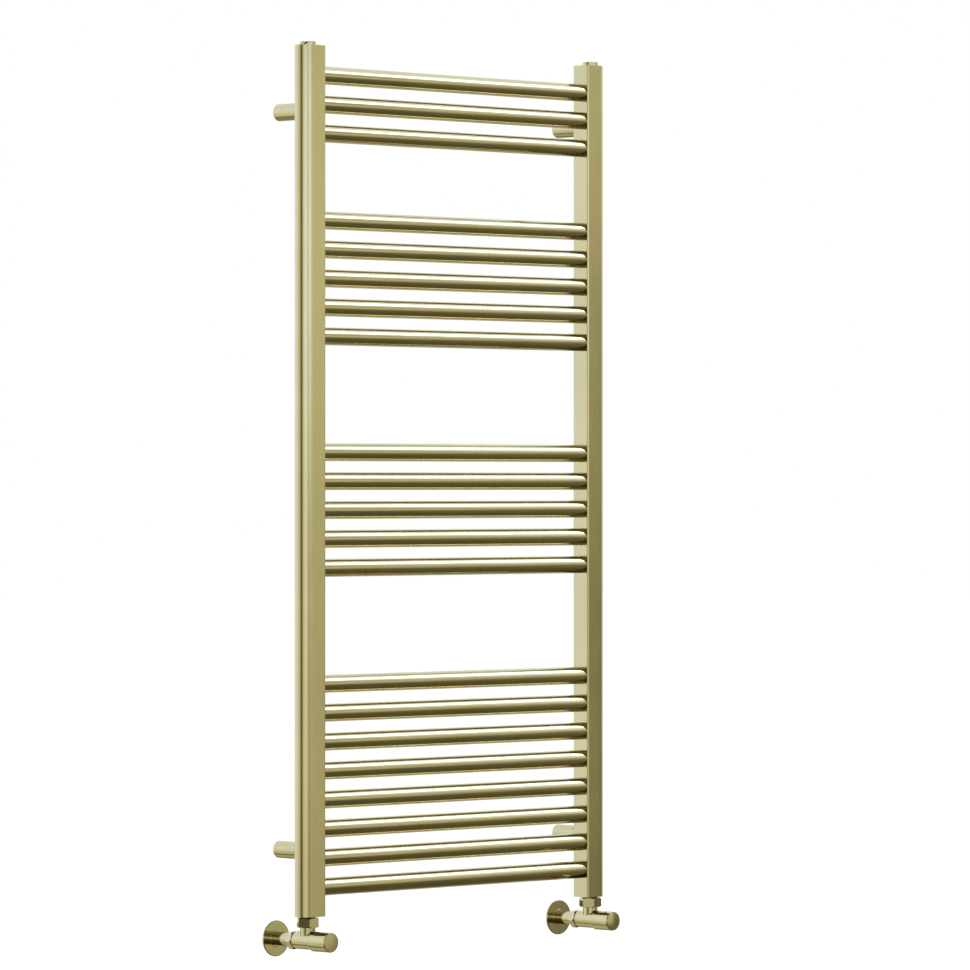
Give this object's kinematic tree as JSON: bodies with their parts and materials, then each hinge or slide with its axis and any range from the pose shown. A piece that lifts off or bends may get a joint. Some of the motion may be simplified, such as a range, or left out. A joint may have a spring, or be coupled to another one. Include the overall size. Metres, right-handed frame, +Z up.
{
  "type": "towel warmer rack",
  "caption": "Straight wall-hung heated towel rail: round bars in stepped groups between two D-section uprights, with stand-off brackets, a top air vent and corner valves.",
  "frame": {"origin": "on the wall plane, at the centre of the four wall fixings", "axes": "+X along the bars to the right as seen from the room, +Y into the wall, +Z up"},
  "size_m": [0.6111, 0.1123, 1.2636],
  "materials": {
    "rail_finish": "fine satin brass plating on steel tube",
    "valve_finish": "fine satin brass",
    "raw_brass": "machined, uncoated",
    "bare_steel": "machined",
    "seal_rubber": "matt",
    "insert_plastic": "moulded"
  },
  "bodies": {
    "rail": {"upright_left": "rail_finish", "upright_right": "rail_finish", "bar_01": "rail_finish", "bar_02": "rail_finish", "bar_03": "rail_finish", "bar_04": "rail_finish", "bar_05": "rail_finish", "bar_06": "rail_finish", "bar_07": "rail_finish", "bar_08": "rail_finish", "bar_09": "rail_finish", "bar_10": "rail_finish", "bar_11": "rail_finish", "bar_12": "rail_finish", "bar_13": "rail_finish", "bar_14": "rail_finish", "bar_15": "rail_finish", "bar_16": "rail_finish", "bar_17": "rail_finish", "bar_18": "rail_finish", "bar_19": "rail_finish", "bar_20": "rail_finish", "bar_21": "rail_finish", "end_caps": "rail_finish", "bracket_spigots": "bare_steel", "bracket_sleeve_top_left": "valve_finish", "bracket_sleeve_top_right": "valve_finish", "bracket_sleeve_bottom_left": "valve_finish", "bracket_sleeve_bottom_right": "valve_finish", "wall_anchors": "bare_steel", "grub_screws": "raw_brass", "vent_body": "valve_finish", "blanking_plug": "valve_finish", "tapping_rings": "seal_rubber", "valve_body_left": "valve_finish", "valve_body_right": "valve_finish", "union_tails": "raw_brass", "union_nuts": "valve_finish", "union_washers": "seal_rubber", "compression_nuts": "valve_finish", "olives": "raw_brass", "pipe_sleeve_left": "valve_finish", "pipe_sleeve_right": "valve_finish", "wall_plate_left": "valve_finish", "wall_plate_right": "valve_finish", "bonnets": "raw_brass", "stem_rings": "seal_rubber"},
    "left_plug": {"valve_plug_left": "raw_brass", "plug_washer_left": "seal_rubber"},
    "left_wheel": {"spindle_left": "raw_brass", "handwheel": "valve_finish", "wheel_insert": "insert_plastic"},
    "right_plug": {"valve_plug_right": "raw_brass", "plug_washer_right": "seal_rubber"},
    "right_spindle": {"spindle_right": "raw_brass"},
    "lockshield_cap": {"lockshield_cap": "valve_finish", "cap_insert": "insert_plastic"},
    "vent_seal": {"vent_seal": "seal_rubber"},
    "vent_screw": {"vent_screw": "raw_brass"}
  },
  "joints": [
    {"name": "left_plug_lift", "type": "slide", "parent": "rail", "child": "left_plug", "axis": [0, -1, 0], "range_m": [0, 0.0045]},
    {"name": "left_wheel_turn", "type": "hinge", "parent": "left_plug", "child": "left_wheel", "pos_m": [-0.2805, -0.065, -0.6333], "axis": [0, -1, 0], "range_deg": [0, 1080]},
    {"name": "right_plug_lift", "type": "slide", "parent": "rail", "child": "right_plug", "axis": [0, -1, 0], "range_m": [0, 0.0045]},
    {"name": "right_spindle_turn", "type": "hinge", "parent": "right_plug", "child": "right_spindle", "pos_m": [0.2805, -0.065, -0.6333], "axis": [0, -1, 0], "range_deg": [0, 1080]},
    {"name": "lockshield_cap_off", "type": "slide", "parent": "rail", "child": "lockshield_cap", "axis": [0, -1, 0], "range_m": [0, 0.045]},
    {"name": "vent_seal_lift", "type": "slide", "parent": "rail", "child": "vent_seal", "axis": [0, 0, 1], "range_m": [0, 0.0012]},
    {"name": "vent_screw_turn", "type": "hinge", "parent": "vent_seal", "child": "vent_screw", "pos_m": [-0.2805, -0.065, 0.6], "axis": [0, 0, 1], "range_deg": [0, 540]}
  ],
  "couplings": [
    {"joint": "left_plug_lift", "follows": "left_wheel_turn", "m_per_rad": 0.00023873},
    {"joint": "right_plug_lift", "follows": "right_spindle_turn", "m_per_rad": 0.00023873},
    {"joint": "vent_seal_lift", "follows": "vent_screw_turn", "m_per_rad": 0.00012732}
  ]
}
